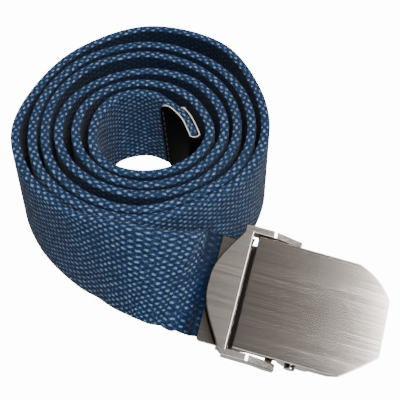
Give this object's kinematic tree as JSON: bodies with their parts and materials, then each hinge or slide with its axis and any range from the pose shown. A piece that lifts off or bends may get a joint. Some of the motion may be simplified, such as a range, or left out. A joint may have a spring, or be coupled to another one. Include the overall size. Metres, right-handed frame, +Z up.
{
  "type": "web belt",
  "caption": "Canvas web belt rolled in a standing spiral, with a leather-wrapped inner end and a brushed metal clamp buckle with a lever and a flip plate.",
  "frame": {"origin": "under the middle of the bounding box, on the plane the roll stands on", "axes": "+Z up, along the strap's width; +X towards the buckle's tip; +Y away from the buckle, towards the back of the roll"},
  "size_m": [0.1346, 0.1424, 0.041],
  "materials": {
    "canvas": "matte plain-woven cotton",
    "leather": "smooth black",
    "metal": "brushed along the belt"
  },
  "bodies": {
    "belt": {"webbing_strap": "canvas", "leather_tip": "leather", "clamp_base": "metal", "clamp_jaw": "metal", "hinge_rivet_front": "metal", "hinge_rivet_back": "metal"},
    "lever": {"clamp_lever": "metal"},
    "plate": {"face_plate": "metal"}
  },
  "joints": [
    {"name": "lever_hinge", "type": "hinge", "parent": "belt", "child": "lever", "pos_m": [0.02971, -0.04582, 0.0097], "axis": [0.2487, 0.9154, 0.3167], "range_deg": [0, 85]},
    {"name": "plate_hinge", "type": "hinge", "parent": "belt", "child": "plate", "pos_m": [0.03685, -0.04762, 0.00931], "axis": [-0.2487, -0.9154, -0.3167], "range_deg": [0, 16]}
  ]
}
